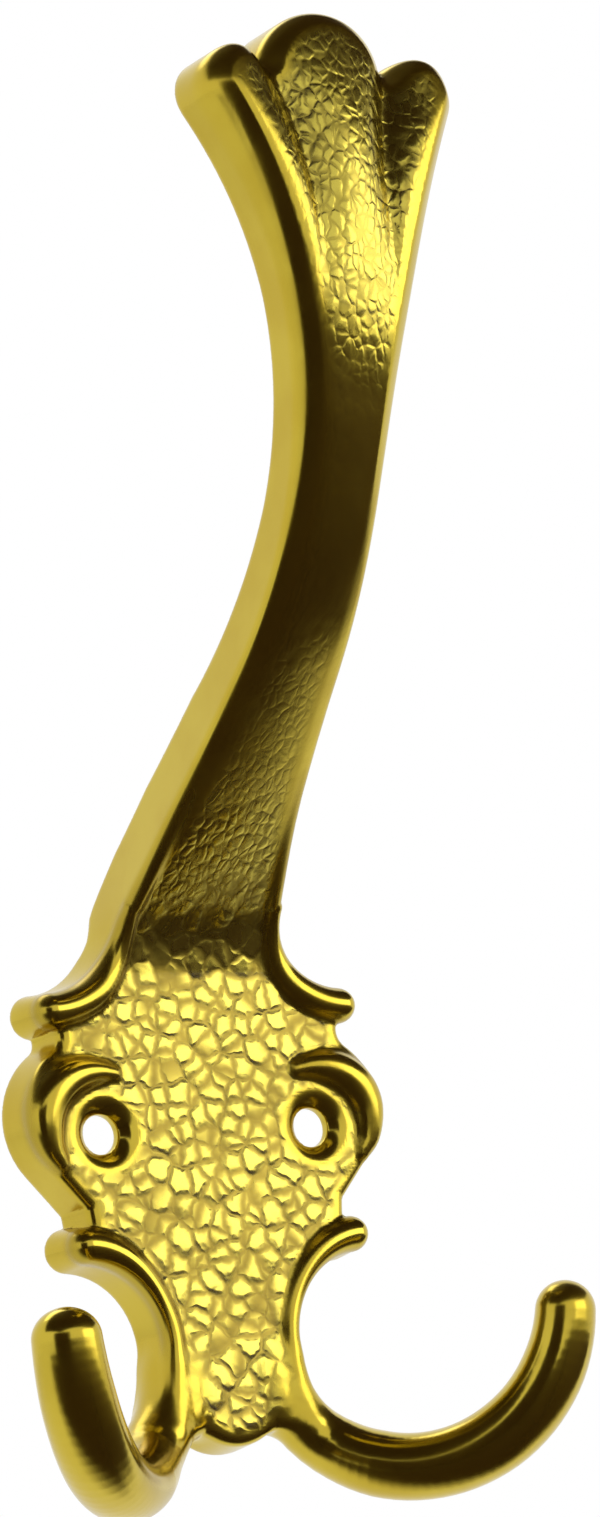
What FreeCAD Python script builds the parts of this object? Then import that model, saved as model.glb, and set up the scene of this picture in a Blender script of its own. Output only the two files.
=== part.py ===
"""Robe hook cast in one piece: a scrolled wall plate, one long upper arm that ends in a
three-lobed fan, and two lower hooks that leave the plate's bottom corners.

Frame: millimetres, +Z up, the wall is the plane Y = 0 and the room is on the -Y side.
X = 0 is the plane of symmetry, and the origin lies on the wall midway between the screws.
"out" in a name is the distance from the wall. The right half (X > 0) is modelled and
mirrored.
"""
import FreeCAD, Part
import math
import os
import Sketcher

from FreeCAD import Placement, Rotation, Vector

doc = FreeCAD.newDocument("robe_hook")

# Sizes of the object, in millimetres and degrees
SIZES = [
    ("plate_depth", 6.0, "wall to the plate's face"),
    ("face_wall", 2.6, "metal between the face and the hollow back"),
    ("rim_wall", 2.4, "rim round the hollow back"),
    ("pocket_turn", 60.0, "angle above level where the hollow's ends leave their curves"),
    ("hole_spacing", 26.0, "between the two screws"),
    ("hole_diameter", 4.2, "clearance for a 4 mm screw"),
    ("sink_diameter", 7.4, "countersink at the face"),
    ("ear_x", 13.6, "centre of a side ear"),
    ("ear_z", 2.0, "centre of a side ear"),
    ("ear_radius", 7.85, "outer curve of an ear"),
    ("ear_turn", 38.0, "angle below level where the ear runs into its straight flank"),
    ("ear_top_turn", 53.0, "angle above level where the ear runs into the notch"),
    ("flank_length", 6.9, "straight edge below an ear"),
    ("tip_radius", 1.75, "rounded end of each scroll"),
    ("upper_tip_x", 17.9, "centre of an upper scroll's end"),
    ("upper_tip_z", 12.75, "centre of an upper scroll's end"),
    ("upper_tip_turn", 80.0, "angle at which an upper scroll's end runs into the notch"),
    ("notch_radius", 2.1, "notch between an upper scroll and an ear"),
    ("flare_radius", 8.8, "hollow curve from an upper scroll to the arm"),
    ("flare_turn", 86.5, "direction from the scroll's end to the flare's centre"),
    ("waist_half", 7.7, "half of the plate's narrow waist"),
    ("waist_z", -22.0, "height of the waist"),
    ("sweep_radius", 10.0, "hollow curve from a lower scroll to the waist"),
    ("sweep_turn", 95.0, "direction from the sweep's centre to the lower scroll's end"),
    ("lower_tip_turn", 120.0, "angle at which a lower scroll's end meets the flank"),
    ("leg_radius", 30.0, "hollow curve from the waist down to the foot"),
    ("leg_drop", 8.6, "waist to the foot's corner"),
    ("tongue_half", 4.4, "half width of the small tongue at the foot"),
    ("tongue_z", -33.4, "lowest point of the tongue"),
    ("tongue_radius", 6.3, "curve of the tongue"),
    ("arm_half", 5.1, "half of the arm's width where it is narrowest"),
    ("arm_half_z", 60.0, "height where the arm is narrowest"),
    ("arm_slope", 48.2, "lean of the arm's straight root from the vertical"),
    ("arm_start_z", 20.4, "where the line of the root meets the plate's face"),
    ("arm_bend", 63.5, "bend of the arm's face towards the vertical"),
    ("arm_reach", 53.4, "greatest distance of the arm's face from the wall"),
    ("root_blend", 11.0, "hollow curve from the plate's face to the root"),
    ("root_sink", 0.25, "depth at which the root starts under the face"),
    ("root_thickness", 7.8, "arm's thickness at the root and at the fan"),
    ("arm_thickness", 7.2, "arm's thickness where it is thinnest"),
    ("crown", 1.3, "rise of the arm's rounded face over its edges"),
    ("fan_top_z", 109.7, "top of the casting, measured from the screws' height"),
    ("middle_radius", 7.5, "end of the middle lobe"),
    ("lobe_x", 10.6, "centre of a side lobe of the fan"),
    ("lobe_drop", 8.7, "top of the casting down to a side lobe's centre"),
    ("lobe_radius", 4.2, "end of a side lobe"),
    ("flute_length", 23.0, "height over which the flutes deepen, below the side lobes"),
    ("flute_depth", 2.1, "depth of the valleys between the lobes at the top"),
    ("flute_place", 0.49, "valley's place, as a share of the half width"),
    ("hook_radius", 17.0, "centre line of a lower hook"),
    ("hook_centre_z", -20.6, "height of the bend's centre"),
    ("hook_centre_x", 18.4, "bend's centre from the plane of symmetry"),
    ("hook_centre_out", 12.2, "bend's centre from the wall"),
    ("hook_turn", 45.0, "angle between a lower hook and the wall"),
    ("hook_width", 7.8, "bar of a lower hook, across its plane"),
    ("hook_height", 6.9, "bar of a lower hook, in its plane"),
    ("root_radius", 2.2, "thin upper end of a hook's root, inside the plate's foot"),
    ("hook_tip", 8.0, "how far below level the bar ends, seen from the bend's centre"),
    ("hook_sweep", 114.0, "angle that the bar turns through"),
    ("upper_scroll_turn", 84.0, "angle through which an upper scroll follows the flare"),
    ("ear_scroll_turn", 112.0, "angle above level where an ear's scroll ends over the screw"),
    ("ear_scroll_inset", 2.355, "how far the ear's scroll curls in from the outline"),
    ("bead_small", 0.8, "thin end of the raised scrolls"),
    ("bead_edge", 1.15, "raised edge along the waist"),
    ("bead_ear", 2.2, "thickest part of an ear's scroll"),
    ("bead_sink", 0.3, "share of a scroll's radius that lies under the face"),
]

# Places that follow from the sizes: centres, then the outline's corners
DERIVED = [
    ("middle_z", "=fan_top_z - middle_radius"),
    ("lobe_z", "=fan_top_z - lobe_drop"),
    ("flute_start_z", "=lobe_z - flute_length"),
    ("sweep_x", "=waist_half + sweep_radius"),
    ("flare_x", "=upper_tip_x + (flare_radius + tip_radius) * cos(flare_turn)"),
    ("flare_z", "=upper_tip_z + (flare_radius + tip_radius) * sin(flare_turn)"),
    ("lower_tip_x", "=sweep_x + (sweep_radius + tip_radius) * cos(sweep_turn)"),
    ("lower_tip_z", "=waist_z + (sweep_radius + tip_radius) * sin(sweep_turn)"),
    ("low_rise", "=arm_half_z - flare_z"),
    ("low_radius", "=(flare_radius^2 - (arm_half - flare_x)^2 - low_rise^2)"
                   " / (2 * (arm_half - flare_x + flare_radius))"),
    ("low_x", "=arm_half + low_radius"),
    ("low_share", "=low_radius / (low_radius - flare_radius)"),
    ("high_rise", "=lobe_z - arm_half_z"),
    ("high_radius", "=((arm_half - lobe_x)^2 + high_rise^2 - lobe_radius^2)"
                    " / (2 * (lobe_radius + lobe_x - arm_half))"),
    ("high_x", "=arm_half + high_radius"),
    ("high_share", "=lobe_radius / (high_radius + lobe_radius)"),
    ("lobe_gap", "=sqrt(lobe_x^2 + (middle_z - lobe_z)^2)"),
    ("valley_along", "=(middle_radius^2 - lobe_radius^2 + lobe_gap^2) / (2 * lobe_gap)"),
    ("valley_side", "=sqrt(middle_radius^2 - valley_along^2)"),
    ("tongue_edge_z", "=tongue_z + tongue_radius - sqrt(tongue_radius^2 - tongue_half^2)"),
    ("foot_x", "=waist_half + leg_radius - sqrt(leg_radius^2 - leg_drop^2)"),
    ("foot_z", "=waist_z - leg_drop"),
    ("sweep_top_x", "=sweep_x + sweep_radius * cos(sweep_turn)"),
    ("sweep_top_z", "=waist_z + sweep_radius * sin(sweep_turn)"),
    ("lower_tip_end", "=lower_tip_x + tip_radius"),
    ("lower_notch_x", "=lower_tip_x + tip_radius * cos(lower_tip_turn)"),
    ("lower_notch_z", "=lower_tip_z + tip_radius * sin(lower_tip_turn)"),
    ("ear_low_x", "=ear_x + ear_radius * cos(ear_turn)"),
    ("ear_low_z", "=ear_z - ear_radius * sin(ear_turn)"),
    ("flank_x", "=ear_low_x - flank_length * sin(ear_turn)"),
    ("flank_z", "=ear_low_z - flank_length * cos(ear_turn)"),
    ("ear_top_x", "=ear_x + ear_radius * cos(ear_top_turn)"),
    ("ear_top_z", "=ear_z + ear_radius * sin(ear_top_turn)"),
    ("upper_notch_x", "=upper_tip_x - tip_radius * cos(upper_tip_turn)"),
    ("upper_notch_z", "=upper_tip_z - tip_radius * sin(upper_tip_turn)"),
    ("upper_tip_end", "=upper_tip_x + tip_radius"),
    ("flare_end_x", "=upper_tip_x + tip_radius * cos(flare_turn)"),
    ("flare_end_z", "=upper_tip_z + tip_radius * sin(flare_turn)"),
    ("arm_foot_x", "=low_x + (flare_x - low_x) * low_share"),
    ("arm_foot_z", "=arm_half_z - low_rise * low_share"),
    ("lobe_foot_x", "=lobe_x + (high_x - lobe_x) * high_share"),
    ("lobe_foot_z", "=lobe_z - high_rise * high_share"),
    ("valley_x", "=(valley_along * lobe_x + valley_side * (middle_z - lobe_z)) / lobe_gap"),
    ("valley_z", "=middle_z + (valley_side * lobe_x - valley_along * (middle_z - lobe_z))"
                 " / lobe_gap"),
    ("pocket_half", "=waist_half - rim_wall"),
    ("pocket_low_z", "=waist_z - rim_wall"),
    ("pocket_sweep", "=sweep_radius + rim_wall"),
    ("pocket_turn_x", "=sweep_x - pocket_sweep * cos(pocket_turn)"),
    ("pocket_turn_z", "=waist_z + pocket_sweep * sin(pocket_turn)"),
    ("pocket_ear", "=ear_radius - rim_wall"),
    ("pocket_ear_x", "=ear_x + pocket_ear * cos(ear_turn)"),
    ("pocket_ear_z", "=ear_z - pocket_ear * sin(ear_turn)"),
    ("pocket_top_x", "=ear_x + pocket_ear * cos(pocket_turn)"),
    ("pocket_top_z", "=ear_z + pocket_ear * sin(pocket_turn)"),
    ("pocket_neck_x", "=arm_foot_x - rim_wall"),
    ("pocket_neck_z", "=upper_tip_z"),
    ("pocket_depth", "=plate_depth - face_wall"),
    ("hole_x", "=hole_spacing / 2"),
    ("sink_depth", "=(sink_diameter - hole_diameter) / 2"),
]

# Small allowances of the modelling, in millimetres
EDGE_SPARE = 1.0
LEAST_CROWN = 0.1
WALL_SPARE = 0.1
SINK_SPARE = 0.3
BALL_SPARE = 0.04
SAME_PLACE = 0.01
# Spacing and numbers of the sections along the curved parts
SECTION_STEP = 6.0
ROOT_STEPS = 6
UPPER_STEPS = 6
SWEEP_STEPS = 5
LEG_STEPS = 3
EAR_STEPS = 7
# How the scrolls swell: shares of their length
LOWER_TAPER = 0.62
EAR_FULL = 0.44
EAR_CURL_START, EAR_CURL_END = 0.2, 0.9

sheet = doc.addObject("Spreadsheet::Sheet", "Sizes")
for row, (alias, value, note) in enumerate(SIZES, start=1):
    sheet.set(f"A{row}", alias)
    sheet.set(f"B{row}", str(value))
    sheet.set(f"C{row}", note)
    sheet.setAlias(f"B{row}", alias)
for row, (alias, formula) in enumerate(DERIVED, start=len(SIZES) + 1):
    sheet.set(f"A{row}", alias)
    sheet.set(f"B{row}", formula)
    sheet.setAlias(f"B{row}", alias)
doc.recompute()


def size(alias):
    """The value of a cell, as a number."""
    return float(getattr(sheet, alias))


def origin_plane(body, role):
    """The body's own origin plane of that role."""
    return next(item for item in body.Origin.OriginFeatures if item.Role == role)


def arc_centre(start, end, radius, side):
    """Centre of the arc under half a turn; side is 1 where it lies left of start to end."""
    chord = end - start
    height = math.sqrt(max(radius ** 2 - (chord.Length / 2) ** 2, 0.0))
    across = Vector(-chord.y, chord.x, 0) / chord.Length
    return (start + end) / 2 + across * height * side


def outline_sketch(body, name, corners, runs):
    """Closed outline on the wall plane, from corners (two aliases each) and runs.

    An alias of None is the plane of symmetry. A run of None is straight; otherwise it is
    (alias of the radius, side of the centre) and joins a corner to the next one.
    """
    sketch = body.newObject("Sketcher::SketchObject", name)
    sketch.AttachmentSupport = (origin_plane(body, "XZ_Plane"), "")
    sketch.MapMode = "FlatFace"
    places = [Vector(size(x) if x else 0.0, size(z), 0) for x, z in corners]
    for index, run in enumerate(runs):
        start, end = places[index], places[(index + 1) % len(places)]
        if run is None:
            sketch.addGeometry(Part.LineSegment(start, end), False)
            continue
        radius, side = size(run[0]), run[1]
        centre = arc_centre(start, end, radius, side)
        angles = [math.atan2(p.y - centre.y, p.x - centre.x) for p in (start, end)]
        circle = Part.Circle(centre, Vector(0, 0, 1), radius)
        first, last = angles if side > 0 else angles[::-1]
        if last < first:
            last += 2 * math.pi
        sketch.addGeometry(Part.ArcOfCircle(circle, first, last), False)

    def vertex(index, at_start):
        """Sketcher's number of the point where a run starts or ends."""
        clockwise = runs[index] is not None and runs[index][1] < 0
        return 1 if at_start != clockwise else 2

    for index in range(len(runs)):
        follower = (index + 1) % len(runs)
        sketch.addConstraint(Sketcher.Constraint(
            "Coincident", index, vertex(index, False), follower, vertex(follower, True)))
    for index, (x, z) in enumerate(corners):
        point = vertex(index, True)
        if x is None:
            sketch.addConstraint(Sketcher.Constraint("PointOnObject", index, point, -2))
        else:
            number = sketch.addConstraint(
                Sketcher.Constraint("DistanceX", -1, 1, index, point, size(x)))
            sketch.setExpression(f"Constraints[{number}]", f"Sizes.{x}")
        number = sketch.addConstraint(
            Sketcher.Constraint("DistanceY", -1, 1, index, point, size(z)))
        sketch.setExpression(f"Constraints[{number}]", f"Sizes.{z}")
    for index, run in enumerate(runs):
        if run is not None:
            number = sketch.addConstraint(Sketcher.Constraint("Radius", index, size(run[0])))
            sketch.setExpression(f"Constraints[{number}]", f"Sizes.{run[0]}")
    return sketch


def padded(name, corners, runs, length):
    """Body with one outline, padded from the wall into the room."""
    body = doc.addObject("PartDesign::Body", name)
    sketch = outline_sketch(body, name + "_outline", corners, runs)
    pad = body.newObject("PartDesign::Pad", name + "_pad")
    pad.Profile = sketch
    pad.setExpression("Length", length)
    doc.recompute()
    if pad.Shape.BoundBox.YMax > SAME_PLACE:
        pad.Reversed = True
    doc.recompute()
    return body


def combine(kind, name, **links):
    """Part boolean with its operands."""
    result = doc.addObject(kind, name)
    for link, value in links.items():
        setattr(result, link, value)
    return result


# Outline of the whole casting seen from the room, right half, from the tongue upwards
OUTLINE = [
    ((None, "tongue_z"), ("tongue_radius", 1)),
    (("tongue_half", "tongue_edge_z"), None),
    (("foot_x", "foot_z"), ("leg_radius", -1)),
    (("waist_half", "waist_z"), ("sweep_radius", -1)),
    (("sweep_top_x", "sweep_top_z"), ("tip_radius", 1)),
    (("lower_tip_end", "lower_tip_z"), ("tip_radius", 1)),
    (("lower_notch_x", "lower_notch_z"), None),
    (("flank_x", "flank_z"), None),
    (("ear_low_x", "ear_low_z"), ("ear_radius", 1)),
    (("ear_top_x", "ear_top_z"), ("notch_radius", -1)),
    (("upper_notch_x", "upper_notch_z"), ("tip_radius", 1)),
    (("upper_tip_end", "upper_tip_z"), ("tip_radius", 1)),
    (("flare_end_x", "flare_end_z"), ("flare_radius", -1)),
    (("arm_foot_x", "arm_foot_z"), ("low_radius", -1)),
    (("arm_half", "arm_half_z"), ("high_radius", -1)),
    (("lobe_foot_x", "lobe_foot_z"), ("lobe_radius", 1)),
    (("valley_x", "valley_z"), ("middle_radius", 1)),
    ((None, "fan_top_z"), None),
]
# Hollow in the plate's back, a rim's width inside the outline
POCKET = [
    ((None, "pocket_low_z"), None),
    (("pocket_half", "pocket_low_z"), None),
    (("pocket_half", "waist_z"), ("pocket_sweep", -1)),
    (("pocket_turn_x", "pocket_turn_z"), None),
    (("pocket_ear_x", "pocket_ear_z"), ("pocket_ear", 1)),
    (("pocket_top_x", "pocket_top_z"), None),
    (("pocket_neck_x", "pocket_neck_z"), None),
    ((None, "pocket_neck_z"), None),
]
silhouette = padded("silhouette", [c for c, run in OUTLINE], [run for c, run in OUTLINE],
                    "Sizes.arm_reach + Sizes.plate_depth")
pocket = padded("pocket", [c for c, run in POCKET], [run for c, run in POCKET],
                "Sizes.pocket_depth")


def smooth(value):
    """Rise from 0 to 1 with level ends."""
    value = min(max(value, 0.0), 1.0)
    return value * value * (3 - 2 * value)


class Arm:
    """Side profile, width and rounded face of the upper arm, as functions of height."""

    def __init__(self):
        lean = math.radians(size("arm_slope"))
        self.slope = math.tan(lean)
        self.start = size("arm_start_z")
        bend = size("arm_bend")
        line_end = size("arm_reach") - bend * (1 - math.cos(lean))
        self.bend_z = self.start + (line_end - size("plate_depth")) / self.slope
        self.upright_z = self.bend_z + bend * math.sin(lean)
        self.floor = size("plate_depth") - size("root_sink")
        reach = size("root_blend") * math.tan(lean / 2)
        self.blend_z = self.start - size("root_sink") / self.slope - reach
        self.blend_end_z = self.blend_z + reach * (1 + math.cos(lean))

    def front(self, z):
        """Face of the arm: hollow blend, straight root, then one bend past the vertical."""
        if z < self.blend_z:
            return self.floor
        if z < self.blend_end_z:
            blend = size("root_blend")
            return self.floor + blend - math.sqrt(blend ** 2 - (z - self.blend_z) ** 2)
        if z < self.bend_z:
            return size("plate_depth") + (z - self.start) * self.slope
        bend = size("arm_bend")
        return size("arm_reach") - bend + math.sqrt(bend ** 2 - (z - self.upright_z) ** 2)

    def back(self, z):
        """Back of the arm, one thickness behind the face."""
        rise = self.front(z + SAME_PLACE) - self.front(z - SAME_PLACE)
        lean = math.atan(rise / (2 * SAME_PLACE))
        middle = size("arm_half_z")
        share = min(((z - middle) / (middle - self.start)) ** 2, 1.0)
        thin, thick = size("arm_thickness"), size("root_thickness")
        return self.front(z) - (thin + (thick - thin) * share) / math.cos(lean)

    def half(self, z):
        """Half width of the arm between its two long side curves."""
        middle = size("arm_half_z")
        radius = size("low_radius") if z < middle else size("high_radius")
        top = min(z, size("lobe_foot_z"))
        return size("arm_half") + radius - math.sqrt(radius ** 2 - (top - middle) ** 2)

    def section(self, z):
        """Level section: a flat back, and one arc over each of the three lobes."""
        half = self.half(z)
        spread = 1 - smooth((z - size("arm_foot_z")) / size("root_blend"))
        wide = half + EDGE_SPARE + (size("upper_tip_end") - half) * spread
        rise = size("crown") * smooth((z - self.start) / (2 * size("root_blend"))) + LEAST_CROWN
        flute = size("flute_depth") * smooth(
            (z - size("flute_start_z")) / (size("lobe_z") - size("flute_start_z")))
        valley = size("flute_place") * half

        def face(x, dip):
            return Vector(x, -self.front(z) + rise * (x / half) ** 2 + dip, z)

        back = -self.back(z)
        bed = [Vector(-wide, back, z), Vector(wide, back, z)]
        edge, groove = face(wide, flute), face(valley, flute)
        far_edge, far_groove = face(-wide, flute), face(-valley, flute)
        crest, far_crest = face((valley + wide) / 2, 0), face(-(valley + wide) / 2, 0)
        return Part.Wire([
            Part.LineSegment(bed[0], bed[1]).toShape(),
            Part.LineSegment(bed[1], edge).toShape(),
            Part.Arc(edge, crest, groove).toShape(),
            Part.Arc(groove, face(0, 0), far_groove).toShape(),
            Part.Arc(far_groove, far_crest, far_edge).toShape(),
            Part.LineSegment(far_edge, bed[0]).toShape(),
        ])

    def skin(self, step):
        """The arm before its outline is cut, from under the plate's face to over the fan."""
        low, high = self.blend_z - step / 2, size("fan_top_z") + step / 4
        count = round((high - low) / step)
        heights = [low + (high - low) * index / count for index in range(count + 1)]
        return Part.makeLoft([self.section(z) for z in heights], True, False)


def ring(centre, along, across, wide, high):
    """Oval wire round a roll's line: it faces along, and its long axis is across."""
    oval = Part.Circle(Vector(), Vector(0, 0, 1), high)
    if wide > high:
        oval = Part.Ellipse(Vector(), wide, high)
    wire = Part.Wire([oval.toShape()])
    wire.Placement = Placement(centre, Rotation(across, Vector(), along, "ZXY"))
    return wire


def roll(stations):
    """Round roll through (centre, radius) stations, with a ball at each end."""
    rings = []
    for index, (centre, radius) in enumerate(stations):
        ahead = stations[min(index + 1, len(stations) - 1)][0]
        behind = stations[max(index - 1, 0)][0]
        rings.append(ring(centre, ahead - behind, Vector(0, -1, 0), radius, radius))
    tube = Part.makeLoft(rings, True, False)
    balls = [Part.makeSphere(radius + BALL_SPARE, centre)
             for centre, radius in (stations[0], stations[-1])]
    return tube.fuse(balls)


def feature(name, shape):
    """Document object that holds a worked-out shape."""
    thing = doc.addObject("Part::Feature", name)
    thing.Shape = shape
    return thing


def blend(first, last, share):
    """Value between two values."""
    return first + (last - first) * share


def upper_scroll():
    """Roll from an upper tip along the flare, thinning as it climbs the arm's edge."""
    stations = []
    for index in range(UPPER_STEPS + 1):
        share = index / UPPER_STEPS
        turn = math.radians(size("flare_turn") + 180 - share * size("upper_scroll_turn"))
        radius = blend(size("tip_radius") - WALL_SPARE, size("bead_small"), share)
        reach = size("flare_radius") + radius + WALL_SPARE
        x = size("flare_x") + reach * math.cos(turn)
        z = size("flare_z") + reach * math.sin(turn)
        out = max(arm.front(z), size("plate_depth")) - size("bead_sink") * radius
        stations.append((Vector(x, -out, z), radius))
    return stations


def lower_scroll():
    """Roll from a lower tip round the sweep and down the leg's edge to the foot."""
    turns = [math.radians(blend(size("sweep_turn"), 180, index / SWEEP_STEPS))
             for index in range(SWEEP_STEPS + 1)]
    places = [(size("sweep_x"), size("sweep_radius"), turn) for turn in turns]
    drop = math.asin(size("leg_drop") / size("leg_radius"))
    leg_x = size("waist_half") + size("leg_radius")
    places += [(leg_x, size("leg_radius"), math.pi + drop * index / LEG_STEPS)
               for index in range(1, LEG_STEPS + 1)]
    stations = []
    for index, (x, curve, turn) in enumerate(places):
        share = index / (len(places) - 1)
        radius = blend(size("tip_radius") - WALL_SPARE, size("bead_edge"),
                       smooth(share / LOWER_TAPER))
        reach = curve + radius + WALL_SPARE
        out = size("plate_depth") - size("bead_sink") * radius
        stations.append((Vector(x + reach * math.cos(turn), -out,
                                size("waist_z") + reach * math.sin(turn)), radius))
    return stations


def hook_root():
    """Root of a lower hook: out of the plate's foot, round into the bar's oval."""
    turn = math.radians(size("hook_tip") + size("hook_sweep"))
    plan = math.radians(size("hook_turn"))
    level = Vector(math.cos(plan), -math.sin(plan), 0)
    across = Vector(math.sin(plan), math.cos(plan), 0)
    thin = size("root_radius")
    first = Vector(size("foot_x") - thin - size("bead_edge"), -size("plate_depth") / 2,
                   size("foot_z") + 2 * thin)
    last = (Vector(size("hook_centre_x"), -size("hook_centre_out"), size("hook_centre_z"))
            + level * size("hook_radius") * math.cos(turn)
            - Vector(0, 0, size("hook_radius") * math.sin(turn)))
    down = Vector(0, 0, -1)
    along = level * math.sin(turn) + Vector(0, 0, math.cos(turn))
    pull = (last - first).Length / 3
    path = Part.BezierCurve()
    path.setPoles([first, first + down * pull, last - along * pull, last])
    rings = []
    for index in range(ROOT_STEPS + 1):
        share = index / ROOT_STEPS
        swell = smooth(share)
        rings.append(ring(path.value(share), path.tangent(share)[0], across,
                          blend(thin + WALL_SPARE, size("hook_width") / 2, swell),
                          blend(thin, size("hook_height") / 2, swell)))
    return Part.makeLoft(rings, True, False)


def ear_scroll():
    """Roll round the outer side of an ear, thick at the side and curled in over the screw."""
    stations = []
    for index in range(EAR_STEPS + 1):
        share = index / EAR_STEPS
        turn = math.radians(blend(-size("ear_turn"), size("ear_scroll_turn"), share))
        swell = min(share / EAR_FULL, (1 - share) / (1 - EAR_FULL))
        radius = blend(size("bead_small"), size("bead_ear"), math.sin(math.pi / 2 * swell))
        curled = (share - EAR_CURL_START) / (EAR_CURL_END - EAR_CURL_START)
        inward = smooth(curled) * size("ear_scroll_inset")
        reach = size("ear_radius") - radius - WALL_SPARE - inward
        out = size("plate_depth") - size("bead_sink") * radius
        stations.append((Vector(size("ear_x") + reach * math.cos(turn), -out,
                                size("ear_z") + reach * math.sin(turn)), radius))
    return stations


arm = Arm()

# Plate and arm: the silhouette's prism, cut to the plate's depth and to the arm's skin
slab = doc.addObject("Part::Box", "slab")
slab.setExpression("Length", "Sizes.ear_x + Sizes.ear_radius + Sizes.plate_depth")
slab.setExpression("Width", "Sizes.plate_depth")
slab.setExpression("Height", "Sizes.flare_end_z + Sizes.tip_radius - 2 * Sizes.tongue_z")
slab.setExpression("Placement.Base.y", "-Sizes.plate_depth")
slab.setExpression("Placement.Base.z", "2 * Sizes.tongue_z")
plate = combine("Part::Common", "plate", Base=silhouette, Tool=slab)
arm_skin = feature("arm_skin", arm.skin(SECTION_STEP))
upper_arm = combine("Part::Common", "upper_arm", Base=silhouette, Tool=arm_skin)
plate_and_arm = combine("Part::Fuse", "plate_and_arm", Base=plate, Tool=upper_arm)
hollow_plate = combine("Part::Cut", "hollow_plate", Base=plate_and_arm, Tool=pocket)

# Lower hook: an oval turned through an arc, with a domed end, set at an angle to the wall
section = doc.addObject("Part::Ellipse", "hook_section")
section.setExpression("MajorRadius", "Sizes.hook_width / 2")
section.setExpression("MinorRadius", "Sizes.hook_height / 2")
section.setExpression("Placement", "placement(vector(Sizes.hook_radius; 0; 0); rotation(90; 0; 0))")
bar = doc.addObject("Part::Revolution", "hook_bar")
bar.Source = section
bar.Base = Vector(0, 0, 0)
bar.Axis = Vector(0, 1, 0)
bar.Solid = True
bar.setExpression("Angle", "Sizes.hook_sweep")
dome = doc.addObject("Part::Ellipsoid", "hook_end")
dome.setExpression("Radius1", "Sizes.hook_height / 2")
dome.setExpression("Radius2", "Sizes.hook_height / 2")
dome.setExpression("Radius3", "Sizes.hook_width / 2")
dome.Angle1 = 0
dome.setExpression("Placement.Base.x", "Sizes.hook_radius")
lower_hook = combine("Part::Fuse", "lower_hook", Base=bar, Tool=dome)
lower_hook.setExpression(
    "Placement",
    "placement(vector(Sizes.hook_centre_x; -Sizes.hook_centre_out; Sizes.hook_centre_z);"
    " rotation(-Sizes.hook_turn; Sizes.hook_tip; 0))")

# Screw hole with its countersink: the cone starts inside the bore and ends over the face
bore = doc.addObject("Part::Cylinder", "bore")
bore.setExpression("Radius", "Sizes.hole_diameter / 2")
bore.setExpression("Height", "3 * Sizes.plate_depth")
bore.setExpression(
    "Placement",
    "placement(vector(Sizes.hole_x; Sizes.plate_depth; 0); rotation(0; 0; 90))")
sink = doc.addObject("Part::Cone", "sink")
sink.setExpression("Radius1", f"Sizes.hole_diameter / 2 - {SINK_SPARE}")
sink.setExpression("Radius2", f"Sizes.sink_diameter / 2 + {SINK_SPARE}")
sink.setExpression("Height", f"Sizes.sink_depth + {2 * SINK_SPARE}")
sink.setExpression(
    "Placement",
    f"placement(vector(Sizes.hole_x; Sizes.sink_depth + {SINK_SPARE} - Sizes.plate_depth; 0);"
    " rotation(0; 0; 90))")
screw_hole = combine("Part::Fuse", "screw_hole", Base=bore, Tool=sink)

# Right half, then the whole casting
drilled = combine("Part::Cut", "drilled", Base=hollow_plate, Tool=screw_hole)
raised = [feature("upper_scroll", roll(upper_scroll())), feature("ear_scroll", roll(ear_scroll())),
          feature("lower_scroll", roll(lower_scroll())), feature("hook_root", hook_root())]
right_half = combine("Part::MultiFuse", "right_half", Shapes=[drilled, lower_hook] + raised)
left_half = doc.addObject("Part::Mirroring", "left_half")
left_half.Source = right_half
left_half.Normal = Vector(1, 0, 0)
robe_hook = combine("Part::Fuse", "robe_hook", Base=right_half, Tool=left_half)
robe_hook.Refine = True
doc.recompute()

KEPT = [robe_hook]


def check(things):
    """Stop where an object failed, or where a kept shape is empty or broken."""
    for item in doc.Objects:
        if "Invalid" in item.State or "Error" in item.State:
            raise RuntimeError(f"{item.Label} failed: {item.State}")
    for item in things:
        shape = item.Shape
        if shape.isNull() or not shape.isValid() or len(shape.Solids) != 1:
            raise RuntimeError(f"{item.Label} is not one valid solid: {len(shape.Solids)}")


check(KEPT)
os.makedirs("parts", exist_ok=True)
for item in KEPT:
    item.Shape.exportStep(f"parts/{item.Label}.step")
    box = item.Shape.BoundBox
    print(f"{item.Label}: {box.XLength:.1f} x {box.YLength:.1f} x {box.ZLength:.1f} mm,"
          f" {item.Shape.Volume:.0f} mm3, {len(item.Shape.Faces)} faces")
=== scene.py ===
# %% [markdown]
# # A cast robe hook with a hammered face
# The object is one die casting: a scrolled wall plate, one long upper arm that ends in a
# three-lobed fan, and two lower hooks. The frame holds its size and its place in space.
# This lesson makes the skin that is seen: soft edges, raised scrolls, hammered cells and a
# polished gold finish. The frame's own pieces stay where they are.

# %% Load the frame
import math

import bpy
import numpy as np
from mathutils import Matrix, Vector


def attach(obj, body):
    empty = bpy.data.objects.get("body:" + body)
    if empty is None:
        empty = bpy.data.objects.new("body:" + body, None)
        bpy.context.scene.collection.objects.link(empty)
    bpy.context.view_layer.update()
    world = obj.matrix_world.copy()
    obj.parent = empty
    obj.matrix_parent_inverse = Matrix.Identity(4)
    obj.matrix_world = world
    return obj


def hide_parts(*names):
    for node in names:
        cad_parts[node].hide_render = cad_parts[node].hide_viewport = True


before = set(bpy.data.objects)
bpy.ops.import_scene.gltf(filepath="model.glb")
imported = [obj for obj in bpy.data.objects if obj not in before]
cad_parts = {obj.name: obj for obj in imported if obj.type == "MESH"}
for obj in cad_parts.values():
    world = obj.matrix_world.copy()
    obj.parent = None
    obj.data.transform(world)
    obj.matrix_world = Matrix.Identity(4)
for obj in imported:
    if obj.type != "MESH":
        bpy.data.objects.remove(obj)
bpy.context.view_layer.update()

MM = 0.001

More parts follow.
